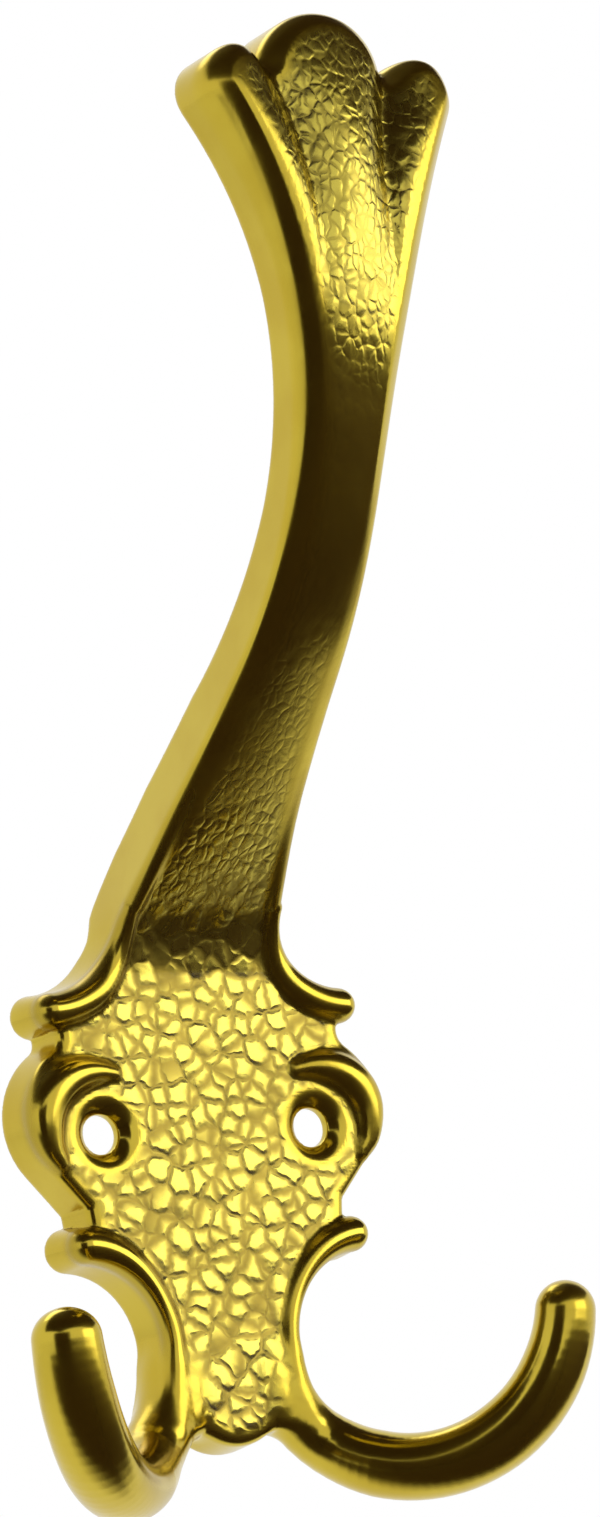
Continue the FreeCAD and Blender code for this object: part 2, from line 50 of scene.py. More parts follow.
# %% [markdown]
# ## The camera comes first
# The photograph looks up at the hook from its left side and a little below. A long lens far
# away keeps the arm from looming, so the camera is placed by its direction, its tilt and its
# distance from a point in the middle of the casting.

# %% Camera at the photograph's angle
VIEW_TURN, VIEW_RISE, VIEW_ROLL = math.radians(-32.5), math.radians(-10.5), math.radians(6.1)
VIEW_DISTANCE = 0.560
VIEW_TARGET = Vector((0.0070, -0.0200, 0.0373))
LENS = 125.45

level = Vector((math.cos(VIEW_TURN), math.sin(VIEW_TURN), 0))
toward = Vector((math.sin(VIEW_TURN) * math.cos(VIEW_RISE),
                 -math.cos(VIEW_TURN) * math.cos(VIEW_RISE), math.sin(VIEW_RISE)))
upright = toward.cross(level)
side = level * math.cos(VIEW_ROLL) - upright * math.sin(VIEW_ROLL)
top = level * math.sin(VIEW_ROLL) + upright * math.cos(VIEW_ROLL)
camera = bpy.data.objects.new("camera", bpy.data.cameras.new("camera"))
camera.data.lens = LENS
camera.matrix_world = Matrix.Translation(VIEW_TARGET + toward * VIEW_DISTANCE) @ Matrix(
    (side, top, toward)).transposed().to_4x4()
bpy.context.scene.collection.objects.link(camera)
bpy.context.scene.camera = camera
print("camera at", [round(c, 3) for c in camera.matrix_world.translation])

# %% [markdown]
# ## The outline
# Seen from the room, the casting has one outline, the same on both sides of x = 0. A pattern
# maker draws it as arcs that run into each other, so it is kept here as arcs too: each is a
# centre, a radius and two angles. From here on, all sizes of the casting are in millimetres,
# in the order x, out from the wall, z.

# %% Points along an arc
def place(centre, radius, degrees):
    """Point of a circle: centre plus radius times (cosine, sine)."""
    turn = np.radians(degrees)
    return np.stack([centre[0] + radius * np.cos(turn), centre[1] + radius * np.sin(turn)], -1)


def arc(centre, radius, first, last, spacing=0.25):
    """Points along a circle between two angles, about one spacing apart."""
    count = max(int(abs(math.radians(last - first)) * radius / spacing), 3)
    return place(centre, radius, np.linspace(first, last, count))


def bearing(centre, point):
    """Angle of a point seen from a centre, in degrees."""
    return math.degrees(math.atan2(point[1] - centre[1], point[0] - centre[0]))


print("a quarter of a circle of 10 mm takes", len(arc((0, 0), 10, 0, 90)), "points")

# %% [markdown]
# The plate starts at a tongue between the hooks, narrows to a waist, sweeps out to the lower
# scroll's tip, goes round the ear with the screw hole, and steps back in a small notch
# before the upper scroll's tip.

# %% Outline of the plate
TONGUE_Z, TONGUE_RADIUS, TONGUE_HALF = -33.4, 6.3, 4.4
WAIST_HALF, WAIST_Z = 8.1, -22.6
LEG_RADIUS, LEG_DROP = 30.0, 8.0
SWEEP_RADIUS, SWEEP_TURN = 9.2, 95.0
TIP_RADIUS, LOWER_TIP_TURN = 1.75, 120.0
EAR_X, EAR_Z, EAR_RADIUS = 13.6, 2.0, 8.05
EAR_TURN, EAR_TOP_TURN, FLANK_LENGTH = 41.0, 55.0, 6.0
NOTCH_RADIUS = 2.1
UPPER_TIP_X, UPPER_TIP_Z, UPPER_TIP_TURN = 17.8, 13.15, 80.0
FLARE_RADIUS, FLARE_TURN = 8.8, 86.5


def plate_outline():
    """Arcs of the plate's right half, from the tongue's foot to the upper scroll's tip."""
    tongue = (0.0, TONGUE_Z + TONGUE_RADIUS)
    tongue_turn = math.degrees(math.asin(TONGUE_HALF / TONGUE_RADIUS))
    leg_turn = math.degrees(math.asin(LEG_DROP / LEG_RADIUS))
    sweep = (WAIST_HALF + SWEEP_RADIUS, WAIST_Z)
    lower_tip = place(sweep, SWEEP_RADIUS + TIP_RADIUS, SWEEP_TURN)
    ear, upper_tip = (EAR_X, EAR_Z), (UPPER_TIP_X, UPPER_TIP_Z)
    flank = place(ear, EAR_RADIUS, -EAR_TURN) - FLANK_LENGTH * np.array(
        [math.sin(math.radians(EAR_TURN)), math.cos(math.radians(EAR_TURN))])
    ear_top = place(ear, EAR_RADIUS, EAR_TOP_TURN)
    notch_end = place(upper_tip, TIP_RADIUS, 180 + UPPER_TIP_TURN)
    chord = notch_end - ear_top
    across = np.array([chord[1], -chord[0]]) / np.linalg.norm(chord)
    notch = (ear_top + notch_end) / 2 + across * math.sqrt(NOTCH_RADIUS ** 2 - chord @ chord / 4)
    notch_first, notch_last = bearing(notch, ear_top), bearing(notch, notch_end)
    notch_last -= 360 if notch_last > notch_first else 0
    return [arc(tongue, TONGUE_RADIUS, -90, tongue_turn - 90),
            arc((WAIST_HALF + LEG_RADIUS, WAIST_Z), LEG_RADIUS, 180 + leg_turn, 180),
            arc(sweep, SWEEP_RADIUS, 180, SWEEP_TURN),
            arc(lower_tip, TIP_RADIUS, SWEEP_TURN - 180, LOWER_TIP_TURN),
            flank[None],
            arc(ear, EAR_RADIUS, -EAR_TURN, EAR_TOP_TURN),
            arc(notch, NOTCH_RADIUS, notch_first, notch_last),
            arc(upper_tip, TIP_RADIUS, UPPER_TIP_TURN - 180, FLARE_TURN)]


print("arcs of the plate:", len(plate_outline()))

# %% [markdown]
# The arm leaves the plate in a flare, is narrowest halfway up, and widens again in a long
# curve to the fan. Two arcs with level ends at the narrowest place give that line: their
# radii follow from the arcs that they have to touch.

# %% Outline of the arm and the fan
ARM_HALF, ARM_HALF_Z = 5.1, 60.0
LOBE_X, LOBE_Z, LOBE_RADIUS = 10.6, 101.0, 4.2
MIDDLE_Z, MIDDLE_RADIUS = 102.2, 7.5


def arm_outline():
    """Arcs of the arm's right half, from the flare to the top of the fan."""
    flare = place((UPPER_TIP_X, UPPER_TIP_Z), FLARE_RADIUS + TIP_RADIUS, FLARE_TURN)
    low = ((FLARE_RADIUS ** 2 - (ARM_HALF - flare[0]) ** 2 - (ARM_HALF_Z - flare[1]) ** 2)
           / (2 * (ARM_HALF - flare[0] + FLARE_RADIUS)))
    high = (((ARM_HALF - LOBE_X) ** 2 + (LOBE_Z - ARM_HALF_Z) ** 2 - LOBE_RADIUS ** 2)
            / (2 * (LOBE_RADIUS + LOBE_X - ARM_HALF)))
    low_centre, high_centre = (ARM_HALF + low, ARM_HALF_Z), (ARM_HALF + high, ARM_HALF_Z)
    lobe, middle = (LOBE_X, LOBE_Z), (0.0, MIDDLE_Z)
    gap = math.hypot(LOBE_X, MIDDLE_Z - LOBE_Z)
    near = (MIDDLE_RADIUS ** 2 - LOBE_RADIUS ** 2 + gap ** 2) / (2 * gap)
    up = math.sqrt(MIDDLE_RADIUS ** 2 - near ** 2)
    cleft = ((near * LOBE_X + up * (MIDDLE_Z - LOBE_Z)) / gap,
             MIDDLE_Z + (up * LOBE_X - near * (MIDDLE_Z - LOBE_Z)) / gap)
    flare_end = bearing(low_centre, flare) + 360
    return [arc(flare, FLARE_RADIUS, FLARE_TURN + 180, flare_end),
            arc(low_centre, low, flare_end, 180),
            arc(high_centre, high, 180, bearing(high_centre, lobe)),
            arc(lobe, LOBE_RADIUS, bearing(high_centre, lobe) - 180, bearing(lobe, cleft)),
            arc(middle, MIDDLE_RADIUS, bearing(middle, cleft), 90)]


edge = np.concatenate(plate_outline() + arm_outline())
print("outline points:", len(edge), "from", edge[0].round(1), "to", edge[-1].round(1))

# %% [markdown]
# ## Three maps of the casting
# A casting that leaves its mould to the front can be told by maps over x and z: how far a
# place is from the outline, how far out the face stands there, and how far out the back.
# The maps are tables, so that later steps only have to look values up.

# %% Distance to the outline
STEP = 0.25
LOW_Z, HIGH_Z, WIDE = -42.0, 114.0, 27.0
map_x, map_z = np.meshgrid(np.arange(0, WIDE, STEP), np.arange(LOW_Z, HIGH_Z, STEP),
                           indexing="ij")


def outline_distance(x, z, points):
    """Distance to the nearest run between two points of the outline.

    It is negative inside, where a line drawn towards +x crosses the outline an odd number
    of times.
    """
    best, inside = np.full(x.shape, np.inf), np.zeros(x.shape, bool)
    for (ax, az), (bx, bz) in zip(points[:-1], points[1:]):
        run_x, run_z = bx - ax, bz - az
        length = run_x ** 2 + run_z ** 2 + 1e-12
        share = np.clip(((x - ax) * run_x + (z - az) * run_z) / length, 0, 1)
        best = np.minimum(best, (x - ax - share * run_x) ** 2 + (z - az - share * run_z) ** 2)
        if az != bz:
            inside ^= ((az > z) != (bz > z)) & (x < ax + (z - az) / run_z * run_x)
    return np.where(inside, -1, 1) * np.sqrt(best)


side_map = outline_distance(map_x, map_z, edge)
print("outline map:", side_map.shape, "deepest", side_map.min().round(2))

# %% [markdown]
# The arm's face, seen from the side, is level over the plate, goes through a hollow curve
# into a straight root at 48 degrees, and bends over a long arc to the upright tip. The rows
# of the map get the face's place, its length along the curve and the width of the casting.

# %% Side profile of the arm
PLATE_DEPTH = 6.0
ARM_SLOPE, ARM_START_Z = math.radians(48.2), 20.4
ARM_BEND, ARM_REACH, ROOT_BLEND = 63.5, 53.4, 11.0


def smooth(value):
    """Rise from 0 to 1 with level ends."""
    value = np.clip(value, 0, 1)
    return value * value * (3 - 2 * value)


def arm_profile(z):
    """Distance of the arm's face from the wall: blend curve, straight root, round bend."""
    slope = math.tan(ARM_SLOPE)
    rise = ARM_REACH - ARM_BEND * (1 - math.cos(ARM_SLOPE)) - PLATE_DEPTH
    bend_z = ARM_START_Z + rise / slope
    upright_z = bend_z + ARM_BEND * math.sin(ARM_SLOPE)
    reach = ROOT_BLEND * math.tan(ARM_SLOPE / 2)
    first, last = ARM_START_Z - reach, ARM_START_Z + reach * math.cos(ARM_SLOPE)
    curve = np.sqrt(np.maximum(ROOT_BLEND ** 2 - (z - first) ** 2, 0))
    bend = np.sqrt(np.maximum(ARM_BEND ** 2 - (z - upright_z) ** 2, 0))
    return np.select(
        [z < first, z < last, z < bend_z],
        [PLATE_DEPTH + 0 * z, PLATE_DEPTH + ROOT_BLEND - curve,
         PLATE_DEPTH + (z - ARM_START_Z) * slope],
        ARM_REACH - ARM_BEND + bend)


row_z = map_z[0]
row_face = arm_profile(row_z)
row_length = np.concatenate([[0], np.cumsum(np.hypot(np.diff(row_z), np.diff(row_face)))])
inside = side_map[:-1] < 0
last = inside.shape[0] - 1 - np.argmax(inside[::-1], axis=0)
within, beyond = (np.take_along_axis(side_map, (last + i)[None], 0)[0] for i in (0, 1))
row_half = np.where(inside.any(axis=0), STEP * (last + within / (within - beyond)), 0)
# above the side lobes' middles the rows keep the fan's full width
row_half[row_z > LOBE_Z] = LOBE_X + LOBE_RADIUS
print("arm's face reaches", row_face.max().round(2), "mm, its length", row_length[-1].round(1))

# %% [markdown]
# Across its width the arm is crowned, so that it feels round in the hand. On the fan two
# valleys part three lobes: each side of a valley and of a crest is a parabola. Beside the
# outline the face drops in a narrow bevel, which grows towards the fan and is what gives the
# fan its dark edge in the photograph.

# %% Face of the casting
CROWN, CROWN_RUN, LEAST_HALF = 1.0, 14.0, 4.0
FLUTE_START_Z, FLUTE_DEPTH, FLUTE_LIMIT = 76.0, 2.4, 1.6
VALLEY_X, VALLEY_SPREAD, SPREAD_START_Z, SPREAD_RUN = 4.4, 3.0, 84.0, 20.0
CREST_INSET, CREST_GAP, CREST_FALL = 3.1, 0.6, 0.7

on_arm = smooth((map_z - ARM_START_Z) / CROWN_RUN)
half = np.maximum(row_half, LEAST_HALF)
fan = smooth((map_z - FLUTE_START_Z) / (LOBE_Z - FLUTE_START_Z))
valley = VALLEY_X + VALLEY_SPREAD * np.clip((map_z - SPREAD_START_Z) / SPREAD_RUN, 0, 2) ** 2.2
crest = np.maximum(half - CREST_INSET, valley + CREST_GAP)
inner = ((crest - map_x) / (crest - valley)) ** 2
outer = CREST_FALL * ((map_x - crest) / (half - crest + 0.01)) ** 2
lobes = np.where(map_x < valley, (map_x / valley) ** 2, np.where(map_x < crest, inner, outer))
face_map = (row_face - CROWN * on_arm * (1 - fan) * (map_x / half) ** 2
            - FLUTE_DEPTH * fan * np.clip(lobes, 0, FLUTE_LIMIT))
# two rounds of averaging across the width take the sharp bottom out of the valleys
for turn in range(2):
    face_map[1:-1] = (face_map[:-2] + 2 * face_map[1:-1] + face_map[2:]) / 4

BEVEL_WIDTH, BEVEL_DROP, LOW_BEVEL = 1.9, 1.05, 0.2
BEVEL_START_Z, BEVEL_RUN = 48.0, 26.0


def bevel(distance, z):
    """Drop of the face in the bevel, from the distance to the outline and the height."""
    share = np.clip((distance + BEVEL_WIDTH) / BEVEL_WIDTH, 0, 1.3) ** 1.25
    grown = LOW_BEVEL + (1 - LOW_BEVEL) * smooth((z - BEVEL_START_Z) / BEVEL_RUN)
    return BEVEL_DROP * grown * share


print("deepest valley:", (row_face - face_map)[:, row_z < LOBE_Z].max().round(2), "mm")

# %% [markdown]
# The back follows the face at the arm's thickness. Behind the plate it is hollow: a rim
# stands on the wall, which saves metal and seats the plate on an uneven wall. The photograph
# can't show it, but the screw holes show how thin the face is. A map of heights isn't yet a
# distance: where the face leans, it is divided by the length of its slope.

# %% Back of the casting
POCKET_DEPTH, RIM_WALL = 3.4, 2.4
ROOT_FILLET, LIFT_START, LIFT_RUN, STEEPEST = 1.6, 2.0, 3.0, 3.0
THICKNESS_Z = [22, 30, 36, 44, 60, 80, 100, 112]
THICKNESS = [6.6, 8.0, 8.3, 7.7, 7.2, 7.6, 8.8, 9.2]


def steepness(table, axis_steps):
    """Length of the slope of a table, or of a row of values, by differences."""
    slopes = np.gradient(table, *axis_steps)
    slopes = slopes if isinstance(slopes, (list, tuple)) else [slopes]
    return np.sqrt(sum(s ** 2 for s in slopes))


row_lean = np.sqrt(1 + steepness(row_face, [STEP]) ** 2)
row_back = row_face - np.interp(row_z, THICKNESS_Z, THICKNESS) * row_lean
# the hollow's sides, foot and top each rise within 1 mm
pocket = (smooth(-side_map - RIM_WALL) * smooth(map_z - WAIST_Z + RIM_WALL)
          * smooth(UPPER_TIP_Z - map_z))
lifted = (row_back + np.sqrt(row_back ** 2 + ROOT_FILLET ** 2)) / 2
lifted *= smooth((row_z - ARM_START_Z + LIFT_START) / LIFT_RUN)
back_map = np.maximum(lifted, POCKET_DEPTH * pocket)
drop_map = bevel(side_map, map_z)
face_lean = 1 / np.sqrt(1 + steepness(face_map - drop_map, [STEP, STEP]) ** 2)
back_lean = 1 / np.sqrt(1 + np.minimum(steepness(back_map, [STEP, STEP]), STEEPEST) ** 2)
print("back stands off the wall by up to", back_map[:, row_z < LOBE_Z].max().round(1), "mm")

# %% [markdown]
# ## The solid as one field
# On a casting the parts flow into each other, and no grid of two parameters can run through a
# place where a scroll, a plate and a hook meet. So this piece is made another way: a field
# gives, at any point, the distance to the metal. Two fields join with a soft corner, as
# fillets do, and the skin is found afterwards where the field is zero.

# %% Looking up a map, and joining two distances
def look_up(table, x, z):
    """Value of a map between its four nearest places, the same on both halves."""
    across = np.clip(np.abs(x) / STEP, 0, table.shape[0] - 1.001)
    along = np.clip((z - LOW_Z) / STEP, 0, table.shape[1] - 1.001)
    i, k = across.astype(int), along.astype(int)
    across, along = across - i, along - k
    low = table[i, k] * (1 - across) + table[i + 1, k] * across
    high = table[i, k + 1] * (1 - across) + table[i + 1, k + 1] * across
    return low * (1 - along) + high * along


def join(first, second, soft):
    """Smaller of two distances, with a fillet where they differ by less than soft."""
    share = np.clip(0.5 + (second - first) / (2 * soft), 0, 1)
    return second + (first - second) * share - soft * share * (1 - share)


def meet(first, second, soft):
    """Larger of two distances, with a rounded edge where they differ by less than soft."""
    return -join(-first, -second, soft)


print("face above the screw hole:", look_up(face_map, np.array([13.0]), np.array([0.0])), "mm")

# %% [markdown]
# The scrolls and the hooks are round rolls that follow a line and change their thickness on
# the way. A roll's field is the distance to the nearest stretch of its line, less the radius
# there.

# %% Rolls along a line
FAR, ROLL_MARGIN = 99.0, 6.0


def roll(points, stations, radii):
    """Distance to a chain of round stretches: to its line, less the radius beside it.

    Points that are farther off than the margin are skipped, as no fillet reaches them.
    """
    best = np.full(len(points), FAR)
    reach = max(radii) + ROLL_MARGIN
    near = np.all((points > stations.min(axis=0) - reach)
                  & (points < stations.max(axis=0) + reach), axis=1)
    close, least = points[near], np.full(near.sum(), FAR)
    for start, end, first, last in zip(stations[:-1], stations[1:], radii[:-1], radii[1:]):
        run = end - start
        share = np.clip((close - start) @ run / (run @ run), 0, 1)
        gap = close - start - share[:, None] * run
        least = np.minimum(least, np.sqrt((gap ** 2).sum(axis=1)) - first - share * (last - first))
    best[near] = least
    return best


bar_ends, bar_radii = np.array([[0.0, 0, 0], [0, 0, 9]]), np.array([1.0, 1.0])
print("3 mm beside a bar of radius 1 mm:", roll(np.array([[3.0, 0, 4]]), bar_ends, bar_radii))

# %% [markdown]
# Three scrolls frame each side of the plate. They are thick where they curl and run out thin:
# the upper one climbs the arm's edge, the ear's curls in over the screw, and the lower one
# follows the waist down to the hook.

# %% Line of the upper scroll
SCROLL_SUNK, SCROLL_GAP, SCROLL_TURN, SCROLL_THIN = 0.25, 0.05, 84.0, 0.75
CLIMB_LOW_Z, CLIMB_HIGH_Z, CLIMB_INSET, CLIMB_THIN, CLIMB_SUNK = 22.0, 36.0, 0.85, 0.25, 2.2


def on_face(line, radius):
    """Line (x, z) laid on the plate's face, sunk into it by a share of its radius."""
    return np.stack([line[:, 0], PLATE_DEPTH - SCROLL_SUNK * radius, line[:, 1]], -1)


def upper_scroll():
    """Line from an upper scroll's tip round the flare and up along the arm's edge."""
    share = np.linspace(0, 1, 29)
    radius = TIP_RADIUS - (TIP_RADIUS - SCROLL_THIN) * smooth((share - 0.3) / 0.7)
    flare = place((UPPER_TIP_X, UPPER_TIP_Z), FLARE_RADIUS + TIP_RADIUS, FLARE_TURN)
    line = place(flare, FLARE_RADIUS + radius + SCROLL_GAP, FLARE_TURN + 180 - SCROLL_TURN * share)
    climb = np.linspace(CLIMB_LOW_Z, CLIMB_HIGH_Z, 10)[1:]
    beside = np.interp(climb, row_z, row_half) - CLIMB_INSET
    line = np.concatenate([line, np.stack([beside, climb], -1)])
    radius = np.concatenate([radius, np.linspace(SCROLL_THIN, CLIMB_THIN, 10)[1:]])
    risen = (line[:, 1] - CLIMB_LOW_Z + 1) / (CLIMB_HIGH_Z - CLIMB_LOW_Z + 1)
    sunk = SCROLL_SUNK * radius + CLIMB_SUNK * smooth(risen)
    out = np.interp(line[:, 1], row_z, row_face) - sunk
    return np.stack([line[:, 0], out, line[:, 1]], -1), radius


print("upper scroll's stations:", len(upper_scroll()[1]))

# %% [markdown]
# The ear's scroll swells from its start to the ear's side and thins again, as half a sine
# wave does, while its circle shrinks to curl it in. The lower scroll only thins, round the
# sweep and on down the leg. Both lie on the level face of the plate.

# %% Lines of the ear's and the lower scroll
EAR_LEAD, EAR_TURN_END, EAR_THIN, EAR_SWELL = 4.0, 118.0, 0.75, 1.45
EAR_PROUD, EAR_CURL, EAR_TUCK, EAR_TUCK_SHARE = 0.1, 0.32, 0.3, 0.1
LOWER_THIN, LEG_ROLL, LEG_INSET = 1.0, 0.9, 0.85


def ear_scroll():
    """Line round the outer side of an ear, thick at the side and curled in over the screw."""
    share = np.linspace(0, 1, 41)
    turn = -EAR_TURN - EAR_LEAD + (EAR_TURN_END + EAR_LEAD + EAR_TURN) * share
    radius = EAR_THIN + EAR_SWELL * np.sin(np.pi * share ** 0.85)
    reach = EAR_RADIUS - radius + EAR_PROUD
    reach -= EAR_CURL * EAR_RADIUS * smooth((share - 0.25) / 0.75)
    reach -= EAR_TUCK * (1 - smooth(share / EAR_TUCK_SHARE))
    return on_face(place((EAR_X, EAR_Z), reach, turn), radius), radius


def lower_scroll():
    """Line from a lower scroll's tip round the sweep and down the leg's edge."""
    share = np.linspace(0, 1, 29)
    radius = TIP_RADIUS - (TIP_RADIUS - LOWER_THIN) * smooth(share * 1.3)
    sweep = (WAIST_HALF + SWEEP_RADIUS, WAIST_Z)
    turn = SWEEP_TURN + (180 - SWEEP_TURN) * share
    line = place(sweep, SWEEP_RADIUS + radius - SCROLL_GAP, turn)
    leg_turn = np.array([185, 190, 196])
    leg = place((WAIST_HALF + LEG_RADIUS, WAIST_Z), LEG_RADIUS + LEG_INSET, leg_turn)
    radius = np.concatenate([radius, np.full(len(leg), LEG_ROLL)])
    return on_face(np.concatenate([line, leg]), radius), radius


SCROLLS = [upper_scroll(), ear_scroll(), lower_scroll()]
print("scroll stations:", [len(radii) for line, radii in SCROLLS])

# %% [markdown]
# A lower hook is a bar with an oval section, bent through an arc in an upright plane that
# stands at 45 degrees to the wall. It leaves the plate's foot as a thinner root. In a frame
# that lies in the hook's plane, and is squeezed across it, the oval bar is a round roll.

# %% Line of a lower hook
HOOK_RADIUS, HOOK_CENTRE = 16.8, (18.4, 12.2, -20.6)
HOOK_FOOT = np.array([[6.2, 3.2, -25.5]])
HOOK_TIP, HOOK_SWEEP = 8.0, 114.0
HOOK_WIDTH, HOOK_HEIGHT = 7.8, 6.9
ROOT_LENGTHS, ROOT_RADII = [0, 7, 16, 30], [2.3, 3.1, 3.55, 3.6]
END_LENGTH, END_RADII = 6, [3.45, 3.2]
PLANE = math.sqrt(0.5)


def hook_frame(points):
    """Points as (outwards in the hook's plane, squeezed distance across it, height)."""
    x, out, z = (points - HOOK_CENTRE).T
    return np.stack([(x + out) * PLANE, (x - out) * PLANE * HOOK_HEIGHT / HOOK_WIDTH, z], -1)


def hook_line():
    """Line of the hook: a curve out of the foot, then the arc up to the rounded tip."""
    turn = np.radians(np.linspace(-HOOK_TIP - HOOK_SWEEP, -HOOK_TIP, 33))
    bar = np.stack([HOOK_RADIUS * np.cos(turn), 0 * turn, HOOK_RADIUS * np.sin(turn)], -1)
    foot = hook_frame(HOOK_FOOT)[0]
    heading = (bar[0] - bar[1]) / np.linalg.norm(bar[0] - bar[1])
    pull = np.linalg.norm(bar[0] - foot) / 3
    poles = [foot, foot + np.array([0, 0, -pull]), bar[0] + heading * pull, bar[0]]
    share = np.linspace(0, 1, 9)[:-1, None]
    root = (poles[0] * (1 - share) ** 3 + 3 * poles[1] * share * (1 - share) ** 2
            + 3 * poles[2] * share ** 2 * (1 - share) + poles[3] * share ** 3)
    line = np.concatenate([root, bar])
    length = np.concatenate([[0], np.cumsum(np.linalg.norm(np.diff(line, axis=0), axis=1))])
    stations = ROOT_LENGTHS + [length[-1] - END_LENGTH, length[-1]]
    return line, np.interp(length, stations, ROOT_RADII + END_RADII), length[-1]


HOOK_LINE, HOOK_RADII, hook_length = hook_line()
print("hook's bar is", round(hook_length, 1), "mm long")

# %% [markdown]
# The whole casting: outline, face and back meet in rounded edges, the scrolls and hooks join
# with fillets, and each screw hole with its countersink is taken away. The plate's walls get
# a little draft, as they need to leave the mould. The left half is the same as the right,
# because every formula uses the distance from the plane of symmetry.

# %% The casting's field
HOLE_X, HOLE_RADIUS, SINK_RADIUS = 13.0, 2.1, 3.3
EDGE_SOFT, BACK_SOFT, SCROLL_SOFT, HOOK_SOFT = 1.0, 0.5, 0.7, 2.4
HOLE_SOFT, WALL_SOFT, DRAFT, ARM_SPARE = 0.7, 0.2, 0.7, 0.3


def plate_and_arm(points):
    """Distance to the plate and the arm: outline, face and back, all three at once."""
    x, out, z = points.T
    side = look_up(side_map, x, z)
    face = (out - look_up(face_map, x, z) + bevel(side, z)) * look_up(face_lean, x, z)
    back = (look_up(back_map, x, z) - out) * look_up(back_lean, x, z)
    # the draft belongs to the plate, the spare width to the arm up to the fan
    low = 1 - smooth((z - 16) / 10)
    side = side - DRAFT * np.clip(1 - out / PLATE_DEPTH, 0, 1) * low
    side -= ARM_SPARE * (1 - low) * (1 - smooth((z - 98) / 9))
    return meet(side, meet(face, back, BACK_SOFT), EDGE_SOFT)


def scrolls(points):
    """Distance to the nearest of the three scrolls."""
    return np.min([roll(points, line, radii) for line, radii in SCROLLS], axis=0)


def casting(points):
    """Distance to the whole casting, in (x, out, z); negative in the metal."""
    points = np.stack([np.abs(points[:, 0]), points[:, 1], points[:, 2]], -1)
    metal = join(plate_and_arm(points), scrolls(points), SCROLL_SOFT)
    metal = join(metal, roll(hook_frame(points), HOOK_LINE, HOOK_RADII), HOOK_SOFT)
    x, out, z = points.T
    # a countersink of 90 degrees widens as fast as it comes out
    spread = np.clip(out - PLATE_DEPTH + SINK_RADIUS - HOLE_RADIUS, 0, 3)
    hole = (np.hypot(x - HOLE_X, z) - HOLE_RADIUS - spread) * np.where(spread > 0, PLANE, 1)
    return meet(meet(metal, -hole, HOLE_SOFT), -out, WALL_SOFT)


print("metal at the arm's root:", casting(np.array([[0.0, 10.0, 26.0]])) < 0)

# %% [markdown]
# ## From the field to a skin
# The field is read on a coarse grid first, and on the fine grid only near the metal's
# surface, which spares most of the work.

# %% Field on the grid
CELL, BLOCK = 0.4, 5
GRID_LOW, BLOCKS = np.array([-36.0, -2.0, -43.0]), np.array([36, 29, 78])


def grid_points(low, step, counts):
    """Points of a regular grid, in rows."""
    axes = [low[i] + step * np.arange(counts[i]) for i in range(3)]
    return np.stack(np.meshgrid(*axes, indexing="ij"), -1).reshape(-1, 3)


def in_parts(field, points, size=150000):
    """Field of many points, worked out part by part to spare memory."""
    return np.concatenate([field(points[i:i + size]) for i in range(0, len(points), size)])


block_step = CELL * BLOCK
coarse = in_parts(casting, grid_points(GRID_LOW + (block_step - CELL) / 2, block_step, BLOCKS))
repeated = [np.repeat(np.arange(n), BLOCK) for n in BLOCKS]
values = coarse.reshape(BLOCKS)[np.ix_(*repeated)].astype(np.float32)
fine = grid_points(GRID_LOW, CELL, BLOCKS * BLOCK)
near = np.abs(values.ravel()) < block_step * 1.5
values.ravel()[near] = in_parts(casting, fine[near])
print("fine points read:", near.sum(), "of", near.size)

# %% [markdown]
# Each fine cell that the surface crosses gets one vertex, in the middle of the places where
# its edges are crossed. A crossing's place on an edge follows from the values at both ends,
# as if the field changed evenly between them.

# %% Vertices of the zero level
CORNERS = [(i, j, k) for i in (0, 1) for j in (0, 1) for k in (0, 1)]


def crossed_cells(inside):
    """Cells that have corners both inside and outside, in rows of their three numbers."""
    size = np.array(inside.shape) - 1
    count = sum(inside[i:i + size[0], j:j + size[1], k:k + size[2]].astype(np.int8)
                for i, j, k in CORNERS)
    return np.argwhere((count > 0) & (count < len(CORNERS)))


def cell_vertices(values, cells):
    """Mean of the crossings on the edges of each cell, counted in cells."""
    at = {corner: values[tuple((cells + corner).T)] for corner in CORNERS}
    total, crossings = np.zeros((len(cells), 3)), np.zeros(len(cells))
    for first in CORNERS:
        for axis in range(3):
            if first[axis]:
                continue
            second = tuple(c + (i == axis) for i, c in enumerate(first))
            crossed = (at[first] < 0) != (at[second] < 0)
            share = np.where(crossed, at[first] / np.where(crossed, at[first] - at[second], 1), 0)
            total += (np.array(first) + share[:, None] * np.eye(3)[axis]) * crossed[:, None]
            crossings += crossed
    return cells + total / crossings[:, None]


cells = crossed_cells(values < 0)
vertices = GRID_LOW + CELL * cell_vertices(values, cells)
print("skin's vertices:", len(vertices))

# %% [markdown]
# Each crossed edge of the grid gets one face, between the four cells round it. Where the
# edge's first end lies in the metal, the face is listed one way round, and otherwise the
# other way, so that all faces look outwards.

# %% Faces of the zero level
def cell_faces(inside, cells):
    """Numbers of the four cells round each crossed edge of the grid."""
    size = np.array(inside.shape) - 1
    number = np.full(size, -1, np.int64)
    number[tuple(cells.T)] = np.arange(len(cells))
    faces = []
    for axis in range(3):
        ahead, one, two = (np.eye(3, dtype=int)[(axis + i) % 3] for i in range(3))
        after = inside[tuple(slice(a, None) for a in ahead)]
        before = inside[tuple(slice(None, -a if a else None) for a in ahead)]
        edges = np.argwhere(after != before)
        edges = edges[(edges > 0).all(axis=1) & (edges < size).all(axis=1)]
        ring = np.stack([number[tuple((edges - offset).T)]
                         for offset in (0 * one, one, one + two, two)], -1)
        leaving = inside[tuple(edges.T)]
        faces.append(np.where(leaving[:, None], ring, ring[:, ::-1]))
    return np.concatenate(faces)


faces = cell_faces(values < 0, cells)
print("skin's faces:", len(faces))

# %% [markdown]
# The vertices still carry the steps of the grid. Each round lets them drift to the middle of
# their neighbours, which evens the faces out, and slides them along the field's slope back to
# the surface. The slope also gives the direction in which polished metal reflects.

